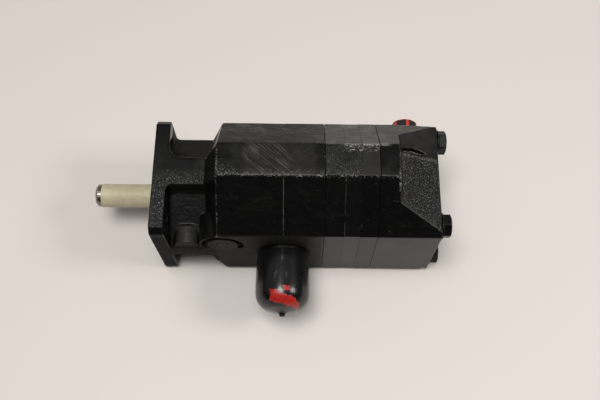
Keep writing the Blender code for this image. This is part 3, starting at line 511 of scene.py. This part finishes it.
def cad_copy(node):
    """The node's mesh as an open-ended working copy with its points welded."""
    bm = bmesh.new()
    bm.from_mesh(NODES[node].data)
    bmesh.ops.remove_doubles(bm, verts=bm.verts, dist=2e-6)
    return bm


def baked(obj):
    """The object's mesh with its modifiers applied; the object itself goes."""
    graph = bpy.context.evaluated_depsgraph_get()
    mesh = bpy.data.meshes.new_from_object(obj.evaluated_get(graph))
    bpy.data.objects.remove(obj, do_unlink=True)
    return mesh


def work_object(name, bm):
    mesh = bpy.data.meshes.new(name)
    bm.to_mesh(mesh)
    bm.free()
    obj = bpy.data.objects.new(name, mesh)
    SCENE.collection.objects.link(obj)
    return obj


def rough_up(mesh, depth_at, low, high):
    """Moves each point along its normal by a few tenths of a millimetre of cast texture.

    No point leaves the box between low and high.
    """
    count = len(mesh.vertices)
    points = np.empty(count * 3)
    normals = np.empty(count * 3)
    mesh.vertices.foreach_get("co", points)
    mesh.vertices.foreach_get("normal", normals)
    points, normals = points.reshape(-1, 3), normals.reshape(-1, 3)
    local = (points - np.array(AXIS)) / MM
    depth = depth_at(local, normals)
    lumps = np.array([noise.noise(Vector(p) * 0.055) for p in local])
    grain = np.array([noise.noise(Vector(p) * 0.42) for p in local])
    points += normals * ((0.16 * lumps + depth * grain) * MM)[:, None]
    points = np.clip(points, np.array(low), np.array(high))
    mesh.vertices.foreach_set("co", points.ravel())
    mesh.update()


def ease(value, low, high):
    share = np.clip((value - low) / (high - low), 0, 1)
    return share * share * (3 - 2 * share)


def casting_depth(local, normals):
    """Cast skin is coarse on the web, the flange's top and the ramp, and fine elsewhere."""
    x, y, z = local.T
    up = ease(normals[:, 2], 0.75, 0.9)
    web = up * (1 - ease(x, 50, 58)) * (1 - ease(y, 2, 7))
    ramp = ease(normals[:, 0], 0.2, 0.35) * up * (1 - ease(y, 17, 21))
    ridge = up * ease(z, 84, 86) * (1 - ease(x, 78, 92))
    return 0.045 + 0.2 * np.maximum(np.maximum(web, ramp), 0.6 * ridge)


def bar_along(bm, start, end, radius, sides=8):
    """A thin round bar between two points, in axis millimetres."""
    a, b = at(*start), at(*end)
    along = b - a
    turn = Vector((0, 0, 1)).rotation_difference(along).to_matrix().to_4x4()
    bmesh.ops.create_cone(
        bm,
        cap_ends=True,
        segments=sides,
        radius1=radius * MM,
        radius2=radius * MM,
        depth=along.length,
        matrix=Matrix.Translation((a + b) / 2) @ turn,
    )


def cast_skin(name, node, voxel, material, extras=()):
    bm = cad_copy(node)
    for start, end, radius in extras:
        bar_along(bm, start, end, radius)
    obj = work_object(name + "_work", bm)
    remesh = obj.modifiers.new("skin", "REMESH")
    remesh.mode = "VOXEL"
    remesh.voxel_size = voxel * MM
    soften = obj.modifiers.new("soften", "SMOOTH")
    soften.factor = 0.5
    soften.iterations = 2
    mesh = baked(obj)
    rough_up(mesh, casting_depth, *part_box(node))
    mesh.shade_smooth()
    return add_piece(name, mesh, material, "housing", "black_paint", node)


def edged_plate(name, node, material):
    """A sawn and painted plate: the CAD outline with its edges broken."""
    bm = cad_copy(node)
    bmesh.ops.dissolve_limit(
        bm, angle_limit=math.radians(1.0), verts=bm.verts, edges=bm.edges
    )
    obj = work_object(name + "_work", bm)
    bevel = obj.modifiers.new("broken_edges", "BEVEL")
    bevel.width = PLATE_EDGE * MM
    bevel.segments = 2
    bevel.limit_method = "ANGLE"
    bevel.angle_limit = math.radians(30)
    bevel.harden_normals = True
    mesh = baked(obj)
    low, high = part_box(node)
    middle = (low.x + high.x) / 2
    stretch = 1 + 2 * PAINT_BRIDGE * MM / (high.x - low.x)
    for vertex in mesh.vertices:
        vertex.co.x = middle + (vertex.co.x - middle) * stretch
    return add_piece(name, mesh, material, "housing", "black_paint", node)


def revolve(profile, sides, place_point, wobble=None):
    """A closed skin of rings: profile lists (radius, height), ends on the axis or open."""
    bm = bmesh.new()
    rings = []
    for radius, height in profile:
        if radius < 1e-6:
            rings.append([bm.verts.new(place_point(0.0, 0.0, height))])
            continue
        ring = []
        for i in range(sides):
            a = 2 * math.pi * i / sides
            r = radius + (wobble(a, height) if wobble else 0.0)
            ring.append(bm.verts.new(place_point(r * math.cos(a), r * math.sin(a), height)))
        rings.append(ring)
    for low, high in zip(rings, rings[1:]):
        for i in range(sides):
            j = (i + 1) % sides
            if len(low) == 1 and len(high) > 1:
                bm.faces.new((low[0], high[j], high[i]))
            elif len(high) == 1 and len(low) > 1:
                bm.faces.new((low[i], low[j], high[0]))
            elif len(low) > 1:
                bm.faces.new((low[i], low[j], high[j], high[i]))
    bmesh.ops.recalc_face_normals(bm, faces=bm.faces)
    return bm


def mesh_from(name, bm, sharp=40):
    mesh = bpy.data.meshes.new(name)
    bm.to_mesh(mesh)
    bm.free()
    mesh.shade_smooth()
    mesh.set_sharp_from_angle(angle=math.radians(sharp))
    return mesh


def smooth_profile(points, steps=5):
    """Points joined by a smooth curve, with the ends kept."""
    path = [Vector((a, b, 0)) for a, b in points]
    made = []
    for i in range(len(path) - 1):
        p0 = path[max(i - 1, 0)]
        p1, p2 = path[i], path[i + 1]
        p3 = path[min(i + 2, len(path) - 1)]
        for k in range(steps):
            t = k / steps
            v = 0.5 * (
                2 * p1
                + (p2 - p0) * t
                + (2 * p0 - 5 * p1 + 4 * p2 - p3) * t * t
                + (3 * p1 - p0 - 3 * p2 + p3) * t * t * t
            )
            made.append((max(v.x, 0.0), v.y))
    made.append((path[-1].x, path[-1].y))
    return made


# ------------------------------------------------------------------------------- pieces


def build_castings():
    flash = [
        ((FLASH_X, -14.6, 86.0), (FLASH_X, -57.4, 48.1), 0.55),
        ((FLASH_X, -57.9, 47), (FLASH_X, -57.9, 27), 0.4),
    ]
    cast_skin("housing_casting", "front_housing", 1.15, HOUSING_SKIN, flash)
    cast_skin("cover_casting", "rear_cover", 1.0, COVER_SKIN)
    for node, skin in PLATE_SKINS.items():
        edged_plate(node + "_edged", node, skin)


def build_cap():
    low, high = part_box("port_cap")
    x = (low.x + high.x) / 2
    tip = low.y

    def along_y(a, b, height):
        return Vector((x + a * MM, tip + height * MM, AXIS.z + b * MM))

    def wobble(angle, height):
        if height < 12:
            return 0.0
        return 0.16 * math.cos(2 * angle + 0.6) + 0.1 * math.cos(3 * angle + height * 0.05)

    outer = smooth_profile(
        [
            (0.0, 0.15),
            (1.9, 0.15),
            (2.5, 0.8),
            (3.0, 2.2),
            (4.4, 3.7),
            (10.0, 5.2),
            (16.4, 7.0),
            (20.9, 10.2),
            (24.0, 14.6),
            (25.4, 19.4),
            (25.8, 26.0),
            (25.6, 38.0),
            (25.2, 50.0),
            (24.9, 57.5),
            (24.7, 59.6),
            (24.2, 60.9),
        ],
        4,
    )
    inner = [
        (23.2, 61.1),
        (22.8, 60.4),
        (22.7, 40.0),
        (22.7, 24.0),
        (18.0, 16.5),
        (4.0, 11.4),
        (0.0, 11.2),
    ]
    bm = revolve(outer + inner, 112, along_y, wobble)
    mesh = mesh_from("vinyl_port_cap", bm)
    add_piece("vinyl_port_cap", mesh, VINYL, "cap", "black_vinyl", "port_cap")


def build_tape():
    low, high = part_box("shaft_wrap")
    length = (high.x - low.x) / MM
    outer_r = (high.z - low.z) / 2 / MM
    sides, rings, pitch = 96, 150, 15.0
    bm = bmesh.new()
    skins = []
    for j in range(rings + 1):
        height = length * j / rings
        ring = []
        for i in range(sides):
            a = 2 * math.pi * i / sides
            turn = (height / pitch + a / (2 * math.pi)) % 1.0
            lap = 0.24 * (1 - turn) if turn > 0.04 else 0.24 * turn / 0.04
            pucker = 0.07 * noise.noise(Vector((height * 0.16, a * 2.2, 3.0)))
            fine = 0.03 * noise.noise(Vector((height * 0.5, a * 7.0, 9.0)))
            ends = min(height, length - height, 1.2) / 1.2
            r = outer_r - 0.34 + (lap + pucker + fine) * ends - 0.1 * (1 - ends)
            y, z = AXIS.y + r * math.cos(a) * MM, AXIS.z + r * math.sin(a) * MM
            ring.append(bm.verts.new((low.x + height * MM, y, z)))
        skins.append(ring)
    bore = outer_r - 0.62
    for end, height in ((0, 0.0), (rings, length)):
        skins_end = [
            bm.verts.new(
                (
                    low.x + height * MM,
                    AXIS.y + bore * math.cos(2 * math.pi * i / sides) * MM,
                    AXIS.z + bore * math.sin(2 * math.pi * i / sides) * MM,
                )
            )
            for i in range(sides)
        ]
        if end == 0:
            skins.insert(0, skins_end)
        else:
            skins.append(skins_end)
    closed = skins + [skins[0]]
    for first, second in zip(closed, closed[1:]):
        for i in range(sides):
            j = (i + 1) % sides
            bm.faces.new((first[i], first[j], second[j], second[i]))
    bmesh.ops.recalc_face_normals(bm, faces=bm.faces)
    mesh = mesh_from("wound_tape", bm, 60)
    add_piece("wound_tape_sleeve", mesh, TAPE, "shaft", "cream_tape", "shaft_wrap")


def hex_head(bm, x0, x1, y, z, corner_r, shank_r, shank_x, place_point, turn=0.0):
    """A chamfered hexagon head on its shank, as one closed skin along X."""
    flat_r = corner_r * math.cos(math.pi / 6)

    def hex_r(a):
        local = (a - turn) % (math.pi / 3) - math.pi / 6
        return min(flat_r / math.cos(local), corner_r - 0.25)

    crown = flat_r * 0.97
    slope = math.tan(math.radians(30))
    rings = []

    def ring(radius_at, x_at):
        made = []
        for i in range(HEX_SIDES):
            a = 2 * math.pi * i / HEX_SIDES
            r = radius_at(a)
            point = place_point(x_at(a), y + r * math.cos(a), z + r * math.sin(a))
            made.append(bm.verts.new(point))
        rings.append(made)

    tip = bm.verts.new(place_point(shank_x, y, z))
    ring(lambda a: shank_r - 0.8, lambda a: shank_x)
    ring(lambda a: shank_r, lambda a: shank_x + 0.8)
    ring(lambda a: shank_r, lambda a: x0)
    ring(lambda a: hex_r(a) - 0.5, lambda a: x0)
    ring(hex_r, lambda a: x0 + 0.4)
    ring(hex_r, lambda a: x1 - max(0.0, hex_r(a) - crown) * slope - 0.35)
    ring(lambda a: hex_r(a) - 0.25, lambda a: x1 - max(0.0, hex_r(a) - crown) * slope - 0.08)
    ring(lambda a: crown - 0.5, lambda a: x1)
    ring(lambda a: crown * 0.62, lambda a: x1)
    ring(lambda a: crown * 0.56, lambda a: x1 - 0.35)
    top = bm.verts.new(place_point(x1 - 0.4, y, z))
    for i in range(HEX_SIDES):
        j = (i + 1) % HEX_SIDES
        bm.faces.new((tip, rings[0][i], rings[0][j]))
        bm.faces.new((top, rings[-1][j], rings[-1][i]))
        for low, high in zip(rings, rings[1:]):
            bm.faces.new((low[i], low[j], high[j], high[i]))


def build_bolts():
    for number in range(1, 5):
        low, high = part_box(f"cover_bolt_{number}")
        washer_low, washer_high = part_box(f"bolt_washer_{number}")
        y = (washer_low.y + washer_high.y) / 2
        z = (washer_low.z + washer_high.z) / 2
        bm = bmesh.new()
        hex_head(
            bm,
            (washer_high.x + 0.0003) / MM,
            high.x / MM,
            y / MM,
            z / MM,
            (high.y - low.y) / 2 / MM,
            BOLT_SHANK_R,
            low.x / MM,
            lambda a, b, c: Vector((a, b, c)) * MM,
            0.35 * number,
        )
        bmesh.ops.recalc_face_normals(bm, faces=bm.faces)
        name = f"hex_bolt_{number}"
        mesh = mesh_from(name, bm, 32)
        add_piece(name, mesh, OXIDE, "housing", "dark_steel", f"cover_bolt_{number}")
        outer_r = (washer_high.y - washer_low.y) / 2 / MM
        thick = (washer_high.x - washer_low.x) / MM
        profile = [
            (WASHER_BORE_R, 0.0),
            (outer_r - 0.35, 0.0),
            (outer_r, 0.35),
            (outer_r, thick - 0.45),
            (outer_r - 0.45, thick),
            (WASHER_BORE_R + 0.2, thick),
            (WASHER_BORE_R, thick - 0.2),
            (WASHER_BORE_R, 0.0),
        ]
        ring = revolve(
            profile,
            72,
            lambda a, b, h: Vector((washer_low.x + h * MM, y + a * MM, z + b * MM)),
        )
        bmesh.ops.remove_doubles(ring, verts=ring.verts, dist=1e-7)
        bmesh.ops.recalc_face_normals(ring, faces=ring.faces)
        name = f"hard_washer_{number}"
        mesh = mesh_from(name, ring, 30)
        add_piece(name, mesh, OXIDE, "housing", "dark_steel", f"bolt_washer_{number}")


def build_outer_race():
    """The bearing's outer race, turned finely enough for the balls to run clear of it."""
    low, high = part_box("bearing_outer_race")
    ball_low, ball_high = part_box("bearing_ball_1")
    outer_r = (high.z - low.z) / 2 / MM
    middle = (low.x + high.x) / 2
    half = (high.x - low.x) / 2 / MM
    pitch_r = ((ball_low.y + ball_high.y) / 2 - AXIS.y) / MM
    groove_r = (ball_high.y - ball_low.y) / 2 / MM + BALL_PLAY
    arc = [math.radians(a) for a in range(-60, 61, 8)]
    groove = [(pitch_r + groove_r * math.cos(a), groove_r * math.sin(a)) for a in arc]
    shoulder_r = groove[0][0]
    profile = [
        (shoulder_r, half),
        (outer_r - RACE_EDGE, half),
        (outer_r, half - RACE_EDGE),
        (outer_r, RACE_EDGE - half),
        (outer_r - RACE_EDGE, -half),
        (shoulder_r, -half),
        *groove,
        (shoulder_r, half),
    ]
    bm = revolve(
        profile,
        120,
        lambda a, b, h: Vector((middle + h * MM, AXIS.y + a * MM, AXIS.z + b * MM)),
    )
    bmesh.ops.remove_doubles(bm, verts=bm.verts, dist=1e-7)
    bmesh.ops.recalc_face_normals(bm, faces=bm.faces)
    mesh = mesh_from("turned_outer_race", bm, 30)
    add_piece(
        "turned_outer_race", mesh, HARDENED, "housing", "hard_steel", "bearing_outer_race"
    )


def build_plug():
    low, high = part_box("rear_port_plug")
    x = (low.x + high.x) / 2 / MM
    z = (low.z + high.z) / 2 / MM
    bm = bmesh.new()
    hex_head(
        bm,
        AXIS.y / MM + PLUG_SEAT_Y,
        high.y / MM,
        x,
        z,
        (high.x - low.x) / 2 / MM / math.cos(math.pi / 6),
        PLUG_SHANK_R,
        low.y / MM,
        lambda a, b, c: Vector((b, a, c)) * MM,
        0.35,
    )
    bmesh.ops.recalc_face_normals(bm, faces=bm.faces)
    mesh = mesh_from("hex_port_plug", bm, 32)
    add_piece("hex_port_plug", mesh, PLUG, "housing", "dark_steel", "rear_port_plug")


def dress_cad_nodes():
    """The nodes whose CAD shape stays get their slot's finish."""
    slots = {part["node"]: part["material_slot"] for part in frame["record"]["subparts"]}
    for name, node in NODES.items():
        if node.hide_render:
            continue
        node.data.materials.clear()
        painted_over = name == "drain_plug"
        node.data.materials.append(HOUSING_SKIN if painted_over else BY_SLOT[slots[name]])


# -------------------------------------------------------------------- floor, light, camera


def build_floor():
    bm = bmesh.new()
    bmesh.ops.create_grid(bm, x_segments=2, y_segments=2, size=3.0)
    floor = work_object("studio_floor", bm)
    g = Graph("pale_floor")
    tone = g.noise(1.2, 2, 0.5)
    color = g.mix(tone, (0.80, 0.742, 0.694), (0.83, 0.773, 0.726))
    floor.data.materials.append(g.finish(color, 0.6, g.bump(g.noise(300, 2, 0.5), 0.02)))


def build_sky():
    """A soft dome that is bright overhead and behind, and dark in front."""
    world = bpy.data.worlds.new("studio_dome")
    world.use_nodes = True
    tree = world.node_tree
    background = tree.nodes["Background"]
    coordinates = tree.nodes.new("ShaderNodeTexCoord")
    dot = tree.nodes.new("ShaderNodeVectorMath")
    dot.operation = "DOT_PRODUCT"
    dot.inputs[1].default_value = Vector((-0.05, 0.6, 0.8)).normalized()
    tree.links.new(coordinates.outputs["Generated"], dot.inputs[0])
    ramp = tree.nodes.new("ShaderNodeMapRange")
    ramp.interpolation_type = "SMOOTHSTEP"
    ramp.inputs["From Min"].default_value = 0.1
    ramp.inputs["From Max"].default_value = 0.7
    ramp.inputs["To Min"].default_value = 0.02
    ramp.inputs["To Max"].default_value = 0.24
    tree.links.new(dot.outputs["Value"], ramp.inputs["Value"])
    tree.links.new(ramp.outputs["Result"], background.inputs["Strength"])
    background.inputs["Color"].default_value = (1.0, 0.985, 0.96, 1.0)
    SCENE.world = world


def area_light(name, place, aim, size, power, color):
    light = bpy.data.lights.new(name, "AREA")
    light.shape = "RECTANGLE"
    light.size, light.size_y = size
    light.energy = power
    light.color = color
    obj = bpy.data.objects.new(name, light)
    obj.location = place
    obj.rotation_euler = (Vector(aim) - Vector(place)).to_track_quat("-Z", "Y").to_euler()
    SCENE.collection.objects.link(obj)


def build_camera():
    """A long-lens camera in front of the motor, looking down at 68 degrees."""
    data = bpy.data.cameras.new("camera")
    data.sensor_width = 36.0
    data.lens = 46.74
    camera = bpy.data.objects.new("camera", data)
    SCENE.collection.objects.link(camera)
    right = Vector((0.99995354, 0.00918862, 0.00291229))
    down = Vector((0.00961459, -0.92926822, -0.36928057))
    forward = Vector((-0.00068688, 0.36929141, -0.92931339))
    turn = Matrix((right, -down, -forward)).transposed()
    camera.matrix_world = Matrix.Translation(at(138.84, -289.51, 721.52)) @ turn.to_4x4()
    SCENE.camera = camera


build_castings()
build_cap()
build_tape()
build_bolts()
build_outer_race()
build_plug()
dress_cad_nodes()
build_floor()
build_sky()
area_light("ceiling_panel", (-0.22, -0.24, 2.2), (0, 0, 0), (0.9, 0.8), 30.5, (1.0, 0.99, 0.975))
area_light("side_window", (1.35, -0.1, 1.35), (0, 0, 0), (0.5, 0.5), 9.5, (1.0, 0.985, 0.965))
build_camera()
SCENE.view_settings.view_transform = "Standard"
